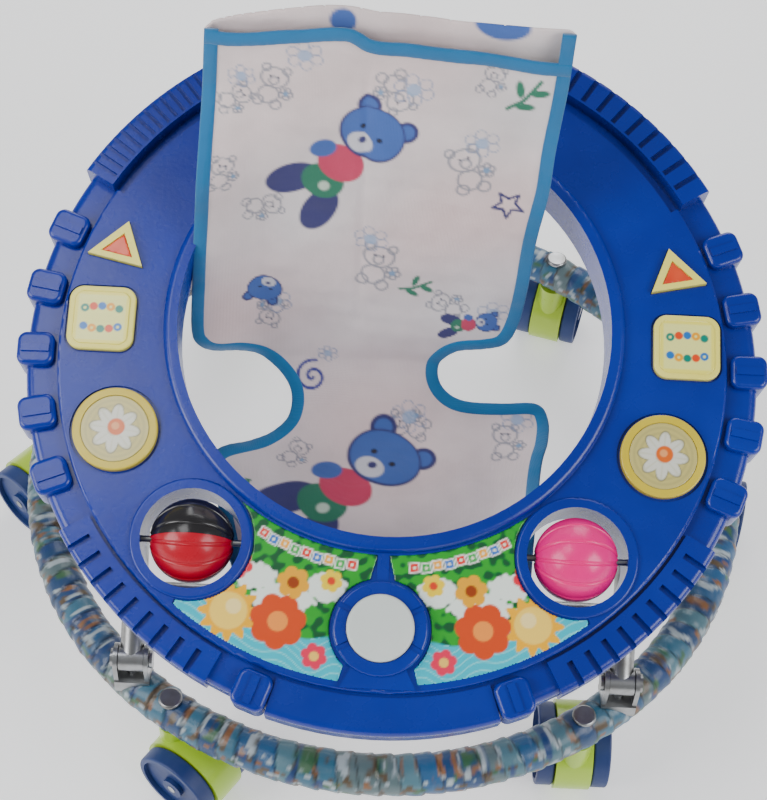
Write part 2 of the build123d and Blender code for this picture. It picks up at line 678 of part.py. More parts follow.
os.makedirs("parts", exist_ok=True)
build_base()
build_legs()
build_tray()
build_seat()
build_casters()
print("front leg angle", degrees(atan2(FRONT_TOP[1] - FRONT_FOOT[1], FRONT_TOP[0] - FRONT_FOOT[0])))
print("rear leg angle", degrees(atan2(REAR_TOP[1] - REAR_FOOT[1], REAR_FOOT[0] - REAR_TOP[0])))
low = [min(getattr(box.min, axis) for box in BOXES) for axis in "XYZ"]
high = [max(getattr(box.max, axis) for box in BOXES) for axis in "XYZ"]
print("outer box", [round(v, 2) for v in low], [round(v, 2) for v in high])
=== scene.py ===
"""Looks of a round baby walker: blue toy tray, printed cloth seat, tape-wound base ring on casters."""

import json
import math

import bpy
import numpy as np
from mathutils import Matrix, Vector


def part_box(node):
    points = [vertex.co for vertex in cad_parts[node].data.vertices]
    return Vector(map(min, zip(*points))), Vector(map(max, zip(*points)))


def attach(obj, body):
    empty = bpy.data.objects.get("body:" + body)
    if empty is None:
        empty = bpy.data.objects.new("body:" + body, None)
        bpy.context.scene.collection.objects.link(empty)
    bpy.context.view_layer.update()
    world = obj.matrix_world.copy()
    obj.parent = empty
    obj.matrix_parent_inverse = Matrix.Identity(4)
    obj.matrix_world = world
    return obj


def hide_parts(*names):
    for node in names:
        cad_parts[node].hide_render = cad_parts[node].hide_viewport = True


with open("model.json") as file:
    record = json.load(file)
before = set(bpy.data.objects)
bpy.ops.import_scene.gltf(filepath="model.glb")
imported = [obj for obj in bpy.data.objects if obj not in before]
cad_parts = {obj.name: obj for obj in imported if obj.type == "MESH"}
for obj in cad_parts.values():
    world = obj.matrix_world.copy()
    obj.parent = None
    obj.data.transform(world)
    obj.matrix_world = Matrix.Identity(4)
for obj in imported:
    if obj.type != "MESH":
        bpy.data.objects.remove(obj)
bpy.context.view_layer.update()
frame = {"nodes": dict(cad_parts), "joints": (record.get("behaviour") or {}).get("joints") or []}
MM = 0.001
RANDOM = np.random.default_rng(7)

# ---------------------------------------------------------------- places taken from the frame


def corners(node):
    """A node's low and high corner as arrays."""
    low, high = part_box(node)
    return np.array(low), np.array(high)


def joint(name):
    """The record's joint of this name."""
    return next(j for j in frame["joints"] if j["name"] == name)


RING_LOW, RING_HIGH = corners("base_ring_wrap")
RING_MID = (RING_LOW + RING_HIGH) / 2
WRAP_R = (RING_HIGH[2] - RING_LOW[2]) / 2
RING_R = (RING_HIGH[0] - RING_LOW[0]) / 2 - WRAP_R

# The tray's own frame: its origin is in the plane of the rim's lower edge, under the tray's middle
TRAY_Z = -np.array(joint("hub_button_press")["axis"])
TRAY_X = np.array([1.0, 0.0, 0.0])
TRAY_Y = np.cross(TRAY_Z, TRAY_X)
BALL_X, BALL_Y, BALL_Z = 118 * MM, -134 * MM, 23 * MM
BALLS_MID = (np.array(joint("ball_left_spin")["pos_m"]) + np.array(joint("ball_right_spin")["pos_m"])) / 2
TRAY_O = BALLS_MID - TRAY_Y * BALL_Y - TRAY_Z * BALL_Z
DECK = 31 * MM
MOUTH_Y, MOUTH_R, RIDGE_W = 9 * MM, 137 * MM, 9 * MM
HUB_Y, HUB_R = -184 * MM, 29 * MM
RIM_Y, DECK_R = -11 * MM, 211 * MM
SQUARE, ROUND = (185 * MM, 4 * MM), (170 * MM, -68 * MM)


def tray_points(points):
    """Tray-frame points, one a row, in the walker's frame."""
    return TRAY_O + points[:, :1] * TRAY_X + points[:, 1:2] * TRAY_Y + points[:, 2:] * TRAY_Z


# ---------------------------------------------------------------- small tools


def smooth(low, high, value):
    """Soft step from 0 at low to 1 at high."""
    t = np.clip((value - low) / (high - low), 0, 1)
    return t * t * (3 - 2 * t)


def lump_noise(points, size, seed):
    """Smooth noise from -1 to 1 over rows of points, with lumps about this size."""
    rng = np.random.default_rng(seed)
    total = np.zeros(len(points))
    for _ in range(7):
        direction = rng.normal(size=points.shape[1])
        direction /= np.linalg.norm(direction)
        wave = 2 * math.pi / (size * rng.uniform(0.7, 1.8))
        total += np.sin(points @ direction * wave + rng.uniform(0, 6.28))
    return total / 4.0


def curve_through(points, per_span=14):
    """Smooth open curve through the points, as rows."""
    p = np.array(points, float)
    p = np.vstack([2 * p[0] - p[1], p, 2 * p[-1] - p[-2]])
    rows = []
    for i in range(1, len(p) - 2):
        a, b, c, d = p[i - 1:i + 3]
        for t in np.linspace(0, 1, per_span, endpoint=False):
            rows.append(0.5 * (2 * b + (c - a) * t + (2 * a - 5 * b + 4 * c - d) * t**2
                               + (3 * b - a - 3 * c + d) * t**3))
    rows.append(p[-2])
    return np.array(rows)


def along(path):
    """Running length at each row of a path."""
    steps = np.linalg.norm(np.diff(path, axis=0), axis=1)
    return np.concatenate([[0], np.cumsum(steps)])


def resample(path, step):
    """The same path with evenly spaced rows."""
    length = along(path)
    places = np.linspace(0, length[-1], max(2, int(round(length[-1] / step)) + 1))
    return np.stack([np.interp(places, length, path[:, k]) for k in range(path.shape[1])], axis=1)


def signed_distance(points, outline):
    """Distance from each point to a closed outline, negative inside, and the nearest outline point."""
    a, b = outline, np.roll(outline, -1, axis=0)
    best = np.full(len(points), 1e9)
    nearest = np.zeros_like(points)
    inside = np.zeros(len(points), bool)
    for start, end in zip(a, b):
        d = end - start
        t = np.clip(((points - start) @ d) / max(d @ d, 1e-15), 0, 1)
        close = start + t[:, None] * d
        gap = np.linalg.norm(points - close, axis=1)
        better = gap < best
        best[better] = gap[better]
        nearest[better] = close[better]
        if start[1] != end[1]:
            spans = (start[1] > points[:, 1]) != (end[1] > points[:, 1])
            cross = start[0] + (points[:, 1] - start[1]) * d[0] / d[1]
            inside ^= spans & (points[:, 0] < cross)
    return np.where(inside, -best, best), nearest


def cut_sheet(outline, step):
    """Grid of small quads inside an outline, with its edge pulled onto it."""
    low, high = outline.min(axis=0) - step, outline.max(axis=0) + step
    nx, ny = (int(math.ceil(v)) + 1 for v in (high - low) / step)
    gx, gy = np.meshgrid(low[0] + np.arange(nx) * step, low[1] + np.arange(ny) * step)
    points = np.stack([gx.ravel(), gy.ravel()], axis=1)
    distance, nearest = signed_distance(points, outline)
    index = np.arange(nx * ny).reshape(ny, nx)
    quads = np.stack([index[:-1, :-1], index[:-1, 1:], index[1:, 1:], index[1:, :-1]], axis=-1).reshape(-1, 4)
    quads = quads[(distance[quads] < 0.55 * step).all(axis=1)]
    edge = distance > -0.45 * step
    points[edge] = nearest[edge]
    used = np.unique(quads)
    renumber = np.full(nx * ny, -1)
    renumber[used] = np.arange(len(used))
    return points[used], renumber[quads]


def make_mesh(name, verts, faces, material, colours=None):
    """New mesh object, with a colour for each vertex where colours are given."""
    mesh = bpy.data.meshes.new(name)
    mesh.from_pydata([tuple(v) for v in verts], [], [tuple(int(i) for i in f) for f in faces])
    mesh.update()
    mesh.polygons.foreach_set("use_smooth", [True] * len(mesh.polygons))
    if colours is not None:
        layer = mesh.color_attributes.new("paint", "FLOAT_COLOR", "POINT")
        rgba = np.hstack([colours, np.ones((len(colours), 1))]).astype(np.float32)
        layer.data.foreach_set("color", rgba.ravel())
    obj = bpy.data.objects.new(name, mesh)
    bpy.context.collection.objects.link(obj)
    mesh.materials.append(material)
    return obj


def thicken(obj, thickness):
    """Give a sheet its real thickness, half on each side."""
    mod = obj.modifiers.new("thickness", "SOLIDIFY")
    mod.thickness = thickness
    mod.offset = 0.0


def linear(*srgb):
    """Linear colour from 0..255 display values."""
    out = []
    for value in srgb:
        v = value / 255
        out.append(v / 12.92 if v <= 0.04045 else ((v + 0.055) / 1.055) ** 2.4)
    return np.array(out)


def disc(points, centre, radius):
    """Distance to a round spot, negative inside."""
    return np.linalg.norm(points - np.array(centre), axis=1) - radius


def stroke(points, path, width):
    """Distance to a line of this width through the path's points."""
    best = np.full(len(points), 1e9)
    for start, end in zip(path[:-1], path[1:]):
        a, d = np.array(start, float), np.array(end, float) - np.array(start, float)
        t = np.clip(((points - a) @ d) / max(d @ d, 1e-15), 0, 1)
        best = np.minimum(best, np.linalg.norm(points - a - t[:, None] * d, axis=1))
    return best - width / 2


def ellipse(points, centre, half, angle=0.0):
    """Rough distance to an ellipse, negative inside."""
    c, s = math.cos(angle), math.sin(angle)
    q = points - np.array(centre)
    x, y = q[:, 0] * c + q[:, 1] * s, -q[:, 0] * s + q[:, 1] * c
    scale = np.sqrt((x / half[0])**2 + (y / half[1])**2)
    return (scale - 1) * min(half)


def paint(colours, distance, colour, blur=0.5 * MM, strength=1.0):
    """Lay a colour where distance is negative, with a slightly soft edge."""
    weight = (1 - smooth(-blur, blur, distance)) * strength
    return colours * (1 - weight[:, None]) + np.array(colour) * weight[:, None]


# ---------------------------------------------------------------- materials


def new_material(name):
    """Empty node material with a Principled shader, and its nodes and links."""
    material = bpy.data.materials.new(name)
    material.use_nodes = True
    nodes, links = material.node_tree.nodes, material.node_tree.links
    return material, nodes, links, nodes["Principled BSDF"]


def add_noise(nodes, links, scale, detail=4.0):
    """Noise texture in object space."""
    place = nodes.new("ShaderNodeTexCoord")
    noise = nodes.new("ShaderNodeTexNoise")
    noise.inputs["Scale"].default_value = scale
    noise.inputs["Detail"].default_value = detail
    links.new(place.outputs["Object"], noise.inputs["Vector"])
    return noise


def add_ramp(nodes, links, source, stops):
    """Colour ramp fed by a value; stops are (place, linear colour)."""
    ramp = nodes.new("ShaderNodeValToRGB")
    while len(ramp.color_ramp.elements) < len(stops):
        ramp.color_ramp.elements.new(0.5)
    for element, (place, colour) in zip(ramp.color_ramp.elements, stops):
        element.position = place
        element.color = (*colour, 1)
    links.new(source, ramp.inputs["Fac"])
    return ramp


def add_range(nodes, links, source, low, high):
    """Map 0..1 to low..high."""
    change = nodes.new("ShaderNodeMapRange")
    change.inputs["To Min"].default_value = low
    change.inputs["To Max"].default_value = high
    links.new(source, change.inputs["Value"])
    return change.outputs["Result"]


def add_bump(nodes, links, shader, source, distance, strength):
    """Bump from a height value."""
    bump = nodes.new("ShaderNodeBump")
    bump.inputs["Distance"].default_value = distance
    bump.inputs["Strength"].default_value = strength
    links.new(source, bump.inputs["Height"])
    links.new(bump.outputs["Normal"], shader.inputs["Normal"])


def plastic(name, colour, worn, rough=(0.2, 0.38), coat=0.25):
    """Moulded plastic: slight colour drift, handling haze and a faint orange-peel surface."""
    material, nodes, links, shader = new_material(name)
    drift = add_noise(nodes, links, 14, 5)
    ramp = add_ramp(nodes, links, drift.outputs["Fac"], [(0.38, colour), (0.72, worn)])
    links.new(ramp.outputs["Color"], shader.inputs["Base Color"])
    haze = add_noise(nodes, links, 55, 6)
    links.new(add_range(nodes, links, haze.outputs["Fac"], *rough), shader.inputs["Roughness"])
    peel = add_noise(nodes, links, 420, 2)
    add_bump(nodes, links, shader, peel.outputs["Fac"], 0.0004, 0.18)
    shader.inputs["Coat Weight"].default_value = coat
    shader.inputs["Coat Roughness"].default_value = 0.12
    return material


def steel(name):
    """Plated steel with fine brushing and dull patches."""
    material, nodes, links, shader = new_material(name)
    shader.inputs["Metallic"].default_value = 1.0
    haze = add_noise(nodes, links, 60, 6)
    stops = [(0.35, linear(176, 178, 180)), (0.7, linear(132, 130, 126))]
    ramp = add_ramp(nodes, links, haze.outputs["Fac"], stops)
    links.new(ramp.outputs["Color"], shader.inputs["Base Color"])
    links.new(add_range(nodes, links, haze.outputs["Fac"], 0.18, 0.5), shader.inputs["Roughness"])
    grain = add_noise(nodes, links, 900, 2)
    add_bump(nodes, links, shader, grain.outputs["Fac"], 0.0002, 0.12)
    return material


def painted(name, rough, bump_scale, bump_depth, coat):
    """Surface that takes its colour from the mesh's own paint, with a fine texture."""
    material, nodes, links, shader = new_material(name)
    colour = nodes.new("ShaderNodeVertexColor")
    colour.layer_name = "paint"
    links.new(colour.outputs["Color"], shader.inputs["Base Color"])
    haze = add_noise(nodes, links, 90, 5)
    links.new(add_range(nodes, links, haze.outputs["Fac"], *rough), shader.inputs["Roughness"])
    grain = add_noise(nodes, links, bump_scale, 3)
    add_bump(nodes, links, shader, grain.outputs["Fac"], bump_depth, 0.35)
    shader.inputs["Coat Weight"].default_value = coat
    return material


def woven(name, colour=None, pitch=0.9 * MM, sheen=0.25):
    """Plain-weave cloth: crossed threads as bump, slubs and light soiling; painted if colour is None."""
    material, nodes, links, shader = new_material(name)
    place = nodes.new("ShaderNodeTexCoord")
    waves = []
    for axis in ("X", "Z"):
        wave = nodes.new("ShaderNodeTexWave")
        wave.wave_type = "BANDS"
        wave.bands_direction = axis
        wave.inputs["Scale"].default_value = 0.314 / pitch
        wave.inputs["Distortion"].default_value = 1.2
        wave.inputs["Detail Scale"].default_value = 3.0
        links.new(place.outputs["Object"], wave.inputs["Vector"])
        waves.append(wave)
    weave = nodes.new("ShaderNodeMath")
    weave.operation = "MULTIPLY"
    links.new(waves[0].outputs["Fac"], weave.inputs[0])
    links.new(waves[1].outputs["Fac"], weave.inputs[1])
    add_bump(nodes, links, shader, weave.outputs[0], 0.0005, 0.35)
    soil = add_noise(nodes, links, 22, 5)
    mix = nodes.new("ShaderNodeMix")
    mix.data_type = "RGBA"
    mix.blend_type = "MULTIPLY"
    mix.inputs["Factor"].default_value = 1.0
    if colour is None:
        base = nodes.new("ShaderNodeVertexColor")
        base.layer_name = "paint"
        links.new(base.outputs["Color"], mix.inputs["A"])
    else:
        mix.inputs["A"].default_value = (*colour, 1)
    shade = add_ramp(nodes, links, soil.outputs["Fac"], [(0.3, (0.86, 0.84, 0.84)), (0.65, (1, 1, 1))])
    links.new(shade.outputs["Color"], mix.inputs["B"])
    links.new(mix.outputs["Result"], shader.inputs["Base Color"])
    shader.inputs["Roughness"].default_value = 0.82
    shader.inputs["Sheen Weight"].default_value = sheen
    return material


BLUE = plastic("blue_plastic_look", (0.0, 0.015, 0.26), (0.0, 0.022, 0.32), rough=(0.2, 0.34), coat=0.06)
# Darker copy of the blue plastic: painted shade for the parts under and inside the tray, with a rougher finish
# and no coat
BLUE_DULL_SHADED = plastic("blue_plastic_inside_painted_shade", (0.0, 0.009, 0.12), (0.0, 0.012, 0.14), rough=(0.35, 0.55), coat=0)
BLACK = plastic("black_plastic_look", linear(22, 22, 24), linear(38, 36, 38), rough=(0.12, 0.3))
RED = plastic("red_plastic_look", (0.42, 0.0, 0.012), (0.5, 0.002, 0.02), rough=(0.16, 0.34), coat=0.06)
PINK = plastic("pink_plastic_look", (0.9, 0.0, 0.2), (1.0, 0.0, 0.26), rough=(0.16, 0.34), coat=0.06)
LIME = plastic("lime_plastic_look", linear(168, 206, 40), linear(184, 214, 62), rough=(0.22, 0.42))
NAVY = plastic("navy_plastic_look", linear(20, 44, 100), linear(34, 60, 118), rough=(0.35, 0.6), coat=0.0)
WHITE = plastic("white_plastic_look", linear(206, 214, 210), linear(218, 224, 220), (0.35, 0.5), coat=0.1)
CREAM = plastic("cream_plastic_look", linear(240, 230, 104), linear(246, 238, 130), rough=(0.2, 0.36))
GOLD = plastic("gold_plastic_look", linear(206, 182, 40), linear(216, 196, 66), rough=(0.22, 0.4))
STEEL = steel("steel_look")
BOARD = plastic("board_look", linear(150, 128, 98), linear(166, 146, 116), rough=(0.8, 0.95), coat=0.0)
CLOTH = woven("seat_cloth_look")
BINDING = woven("binding_look", linear(0, 110, 166), pitch=0.6 * MM, sheen=0.35)
WRAP = painted("ring_tape_look", (0.22, 0.6), 700, 0.0005, coat=0.15)
DECAL = painted("printed_label_look", (0.16, 0.3), 900, 0.0001, coat=0.5)


def dress(material, *names):
    """Give CAD nodes their material."""
    for name in names:
        obj = frame["nodes"][name]
        obj.data.materials.clear()
        obj.data.materials.append(material)


def dress_cad():
    """Materials of the CAD nodes that stay in view."""
    sides = ("left", "right")
    dress(BLUE, "tray_shell")
    # the darker blue on the underplate, hub cup and height rails is painted shade
    dress(BLUE_DULL_SHADED, "tray_underplate", "hub_cup", *[f"height_rail_{s}" for s in sides])
    dress(STEEL, "base_ring_tube", "bracket_bolts", "foot_pins", "caster_stems", "front_cross_tube",
          "front_top_pins", "rail_screws", "rear_top_pins", "hub_spring",
          *[f"{part}_{s}" for part in ("front_foot_bracket", "rear_foot_bracket", "front_leg", "rear_leg",
                                       "rear_leg_bracket", "ball_axle") for s in sides])
    dress(BLACK, "ball_left_black_half")
    dress(RED, "ball_left_red_half")
    dress(PINK, "ball_right")
    dress(WHITE, "hub_button")
    dress(CREAM, *[f"{part}_{s}" for part in ("square_plate", "triangle_plate") for s in sides])
    dress(GOLD, *[f"round_plate_{s}" for s in sides])
    dress(BOARD, "backrest_board")
    for name in frame["nodes"]:
        if name.startswith("caster_") and name.endswith("_housing"):
            dress(LIME, name)
        if name.startswith("caster_") and name.endswith("_wheels"):
            dress(NAVY, name)
        if name.startswith("caster_") and name.endswith("_axle"):
            dress(STEEL, name)


# ---------------------------------------------------------------- base ring


def ring_wrap():
    """Sleeve wound with overlapping turns of printed foil tape, with a few dull and brown patches."""
    turns, around, per_turn = 118, 30, 10
    count = turns * per_turn
    ring = np.repeat(np.arange(count) / count, around)
    tube = np.tile(np.arange(around) / around, count)
    wound = ring * turns + tube
    phase = wound % 1.0
    turn = np.floor(wound).astype(int) % turns
    lift = RANDOM.uniform(-0.5, 0.5, turns)[turn] * 0.5 * MM
    radius = WRAP_R - 1.3 * MM + 1.1 * MM * phase**0.7 * (1 - smooth(0.9, 1.0, phase)) + lift
    a, b = ring * 2 * math.pi, tube * 2 * math.pi
    flat = np.stack([np.cos(a) * RING_R, np.sin(a) * RING_R, np.sin(b) * WRAP_R], axis=1)
    inward = np.stack([np.cos(b), np.zeros_like(b), np.zeros_like(b)], axis=1)
    radius = radius + lump_noise(flat + 0.3 * inward * WRAP_R, 9 * MM, 3) * 0.35 * MM
    verts = np.stack([(RING_R + radius * np.cos(b)) * np.cos(a), (RING_R + radius * np.cos(b)) * np.sin(a),
                      radius * np.sin(b)], axis=1) + RING_MID
    index = np.arange(count * around).reshape(count, around)
    nxt, up = np.roll(index, -1, axis=0), np.roll(index, -1, axis=1)
    faces = np.stack([index, nxt, np.roll(nxt, -1, axis=1), up], axis=-1).reshape(-1, 4)
    obj = make_mesh("base_ring_tape", verts, faces, WRAP, colours=tape_colours(flat, phase, turn, turns))
    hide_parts("base_ring_wrap")
    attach(obj, "base")


def tape_colours(flat, phase, turn, turns):
    """Blue, teal and grey foil, speckled brown, green and silver, with painted shade where turns overlap."""
    tints = np.array([linear(40, 92, 136), linear(58, 112, 138), linear(84, 126, 140), linear(30, 70, 116),
                      linear(96, 118, 122)])
    colours = tints[RANDOM.integers(0, len(tints), turns)][turn]
    spots = ((9, 0.35, linear(92, 76, 54)), (12, 0.5, linear(60, 106, 70)), (7, 0.45, linear(176, 190, 196)),
             (10, 0.55, linear(30, 66, 120)), (8, 0.62, linear(140, 96, 62)))
    for seed, (size, level, tint) in enumerate(spots):
        amount = smooth(level, level + 0.3, lump_noise(flat, size * MM, 20 + seed))
        colours = colours * (1 - amount[:, None]) + tint * amount[:, None]
    # seam here is painted shade: each turn's edges are darkened where it steps down onto the next turn
    seam = 1 - 0.62 * (smooth(0.88, 0.97, phase) + (1 - smooth(0.0, 0.06, phase)))
    wear = 0.86 + 0.14 * lump_noise(flat, 60 * MM, 40)
    return np.clip(colours * (seam * wear)[:, None], 0.004, 1)


# ---------------------------------------------------------------- printed labels on the tray


def circle_line(centre, radius, count=48, start=0.0, end=2 * math.pi):
    """Points round a circle or an arc."""
    angles = np.linspace(start, end, count, endpoint=abs(end - start) < 6.2)
    return np.stack([centre[0] + radius * np.cos(angles), centre[1] + radius * np.sin(angles)], axis=1)


def label(name, outline, height, paint_rule, replaces=(), step=0.9 * MM):
    """Printed label: a thin sheet on the tray with its picture painted by a rule."""
    points, faces = cut_sheet(outline, step)
    verts = tray_points(np.hstack([points, np.full((len(points), 1), height)]))
    obj = make_mesh(name, verts, faces, DECAL, colours=paint_rule(points))
    thicken(obj, 0.35 * MM)
    if replaces:
        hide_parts(*replaces)
    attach(obj, "tray")


def panel_outline(side):
    """Butterfly-wing outline between a ball window and the hub."""
    inner, outer, gap = MOUTH_R + RIDGE_W + 1.5 * MM, DECK_R - 4.5 * MM, 3.5 * MM
    mouth = np.array([0, MOUTH_Y])
    ball, hub = np.array([BALL_X, BALL_Y]), np.array([0, HUB_Y])
    start = math.asin(gap / inner)
    top = circle_line(mouth, inner, 30, -math.pi / 2 + start, math.radians(-49))
    bottom = circle_line((0, RIM_Y), outer, 30, math.radians(-52.5), math.radians(-83.4))
    outline = resample(np.vstack([top, bottom, top[:1]]), 0.8 * MM)[:-1]
    for centre, radius in ((ball, 38.5 * MM), (hub, HUB_R + 2 * MM)):
        out = outline - centre
        gapped = np.linalg.norm(out, axis=1)
        near = gapped < radius
        outline[near] = centre + out[near] / gapped[near][:, None] * radius
    return outline * np.array([side, 1.0])


def sun(points, colours, centre, size, tint):
    """Sun with pointed rays and a plain round middle."""
    q = points - np.array(centre)
    angle, radius = np.arctan2(q[:, 1], q[:, 0]), np.linalg.norm(q, axis=1)
    rays = radius - size * (0.86 + 0.14 * np.cos(12 * angle))
    colours = paint(colours, rays, linear(250, 180, 0))
    colours = paint(colours, disc(points, centre, size * 0.6), tint)
    return paint(colours, disc(points, (centre[0] - size * 0.15, centre[1] + size * 0.15), size * 0.25),
                 linear(255, 236, 170), strength=0.7)


def flower(points, colours, centre, size, petal, middle, petals=6):
    """Flower with round petals."""
    for k in range(petals):
        angle = 2 * math.pi * k / petals + 0.3
        spot = (centre[0] + size * 0.62 * math.cos(angle), centre[1] + size * 0.62 * math.sin(angle))
        colours = paint(colours, disc(points, spot, size * 0.4), petal)
    return paint(colours, disc(points, centre, size * 0.36), middle)


def blocks(points, colours):
    """Row of small coloured blocks with white edges, along the ridge of the seat's opening."""
    tints = (linear(226, 44, 36), linear(30, 110, 200), linear(250, 170, 20), linear(40, 170, 70))
    for k in range(9):
        angle = math.radians(-90 + 7.0 + 2.65 * k)
        radius = MOUTH_R + RIDGE_W + (9.5 + 0.8 * (k % 2)) * MM
        p = points - np.array([radius * math.cos(angle), MOUTH_Y + radius * math.sin(angle)])
        turned = np.stack([p @ np.array([-math.sin(angle), math.cos(angle)]),
                           p @ np.array([math.cos(angle), math.sin(angle)])], axis=1)
        edge = np.abs(turned).max(axis=1)
        colours = paint(colours, edge - 3.3 * MM, linear(250, 250, 244), 0.4 * MM)
        colours = paint(colours, edge - 2.5 * MM, tints[(3 * k) % 4], 0.4 * MM)
        colours = paint(colours, disc(turned, (0, 0), 1.0 * MM), linear(250, 246, 220), 0.3 * MM)
    return colours


def panel_paint(side):
    """Garden by the water: leaves, clouds, a sun, flowers and a row of coloured blocks."""
    def rule(points):
        p = points * np.array([side, 1.0])
        colours = np.tile(linear(30, 160, 40), (len(p), 1))
        leaves = lump_noise(p, 9 * MM, 60 + side) - 0.15
        colours = paint(colours, -leaves, linear(10, 84, 44), 0.25)
        for centre, half in (((78, -155), (14, 8)), ((34, -160), (12, 9)), ((60, -168), (20, 9)),
                             ((100, -160), (9, 9))):
            cloud = ellipse(p, np.array(centre) * MM, np.array(half) * MM)
            cloud = cloud - 1.2 * MM * lump_noise(p, 6 * MM, 70)
            colours = paint(colours, cloud, linear(236, 246, 236), 0.8 * MM)
        water = DECK_R - 27 * MM - np.linalg.norm(p - np.array([0, RIM_Y]), axis=1)
        water += 2.5 * MM * np.sin(p[:, 0] / (6 * MM))
        colours = paint(colours, water, linear(10, 190, 210), 0.8 * MM)
        wave = np.abs((water / (5 * MM) + 0.5 * np.sin(p[:, 0] / (5 * MM))) % 1 - 0.5)
        colours = paint(colours, np.where(water < 0, wave - 0.08, 1), linear(140, 236, 240), 0.06, 0.7)
        colours = sun(p, colours, (92 * MM, -177 * MM), 19 * MM, linear(255, 214, 90))
        colours = flower(p, colours, (62 * MM, -182 * MM), 17 * MM, linear(214, 72, 20), linear(250, 150, 60),
                         petals=7)
        colours = flower(p, colours, (54 * MM, -158 * MM), 10 * MM, linear(240, 170, 20), linear(150, 60, 10))
        colours = flower(p, colours, (88 * MM, -148 * MM), 9 * MM, linear(230, 40, 60), linear(250, 220, 90))
        colours = flower(p, colours, (31 * MM, -156 * MM), 7 * MM, linear(250, 214, 30), linear(220, 60, 30))
        colours = flower(p, colours, (39 * MM, -202 * MM), 8 * MM, linear(230, 40, 80), linear(250, 200, 90))
        return blocks(p, colours)
    return rule


def square_paint(side):
    """Yellow square with two bowed rows of small coloured shapes."""
    centre = np.array(SQUARE) * (side, 1)

    def rule(points):
        q = points - centre
        colours = np.tile(linear(240, 230, 96), (len(points), 1))
        colours = paint(colours, np.abs(q).max(axis=1) - 15.0 * MM, linear(236, 236, 140), 0.6 * MM)
        tints = (linear(0, 130, 110), linear(226, 70, 20), linear(20, 110, 190), linear(240, 160, 0))
        for row, shift in ((1, 0), (-1, 2)):
            for k in range(5):
                spot = np.array([-10.8 + 5.4 * k, row * 6.0 + 1.6 * row * (1 - (k - 2)**2 / 4)]) * MM
                shape = disc(q, spot, 2.6 * MM)
                if (k + shift) % 3 == 0:
                    shape = np.abs(shape + 0.8 * MM) - 0.9 * MM
                colours = paint(colours, shape, tints[(k + shift) % 4], 0.35 * MM)
        return colours
    return rule


def daisy_paint(side):
    """Silvery face with a daisy: grey-white petals round an orange middle."""
    centre = np.array(ROUND) * (side, 1)

    def rule(points):
        q = points - centre
        angle, radius = np.arctan2(q[:, 1], q[:, 0]), np.linalg.norm(q, axis=1)
        colours = np.tile(linear(196, 184, 110), (len(points), 1))
        brushed = 0.5 + 0.5 * np.sin(radius / (0.55 * MM))
        colours = paint(colours, 0.5 - brushed, linear(168, 160, 100), 0.5, 0.5)
        petals = radius - 15.5 * MM * (0.62 + 0.38 * np.abs(np.cos(4.0 * angle + 0.4)))
        colours = paint(colours, petals - 0.9 * MM, linear(132, 126, 90))
        colours = paint(colours, petals, linear(200, 200, 178))
        vein = 0.16 - np.abs(np.sin(4.0 * angle + 0.4))
        vein = np.where((petals < -1 * MM) & (radius > 5 * MM), vein, 1)
        colours = paint(colours, vein, linear(222, 222, 214), 0.2, 0.6)
        middle = centre + np.array([0.8, 1.2]) * MM
        colours = paint(colours, disc(points, middle, 5.4 * MM), linear(220, 100, 20))
        shine = centre + np.array([0.2, 1.8]) * MM
        return paint(colours, disc(points, shine, 2.4 * MM), linear(236, 158, 96))
    return rule


def triangle_outline(side, grow):
    """Triangle of the side plates, moved out from its middle."""
    points = np.array([(198.0, 47.0), (173.0, 70.0), (162.0, 39.0)]) * MM
    middle = points.mean(axis=0)
    out = points - middle
    points = points + out / np.linalg.norm(out, axis=1)[:, None] * grow
    return points * np.array([side, 1.0])


def flat_paint(tint, other, seed):
    """Plain printed area with a little drift."""
    def rule(points):
        amount = 0.5 + 0.5 * lump_noise(points, 14 * MM, seed)
        return tint * (1 - amount[:, None]) + other * amount[:, None]
    return rule


def labels():
    """All printed labels of the tray."""
    for side, word in ((-1, "left"), (1, "right")):
        label(f"picture_print_{word}", panel_outline(side), DECK + 0.1 * MM, panel_paint(side),
              replaces=(f"picture_panel_{word}",))
        middle = np.array(SQUARE) * (side, 1)
        square = rounded_square(middle, 17.5 * MM, 6 * MM)
        label(f"square_print_{word}", square, DECK + 2.7 * MM, square_paint(side),
              step=0.6 * MM)
        face = circle_line(np.array(ROUND) * (side, 1), 21.3 * MM, 64)
        label(f"daisy_print_{word}", face, DECK + 2.95 * MM, daisy_paint(side),
              step=0.6 * MM)
        label(f"triangle_print_{word}", triangle_outline(side, -9.4 * MM), DECK + 2.75 * MM,
              flat_paint(linear(214, 60, 24), linear(228, 84, 44), 70))


def rounded_square(middle, half, radius):
    """Outline of a square with round corners."""
    rows = []
    for k, (sx, sy) in enumerate(((1, 1), (-1, 1), (-1, -1), (1, -1))):
        centre = middle + np.array([sx, sy]) * (half - radius)
        rows.append(circle_line(centre, radius, 8, k * math.pi / 2, (k + 1) * math.pi / 2))
    return np.vstack(rows)


# ---------------------------------------------------------------- seat

SEAT_O = np.array([RING_MID[0], RING_MID[1], 0.0])
# Middle line of the sling's top face, as (Y, Z) from the ring's middle: back, seat and front flap
SEAT_LINE = [(35.8, 505.0), (29.9, 463.0), (14.2, 350.0), (-1.9, 240.0), (-7.5, 214.0), (-24.0, 199.0),
             (-55.0, 195.0), (-95.0, 199.0), (-150.0, 205.5), (-182.5, 210.5)]
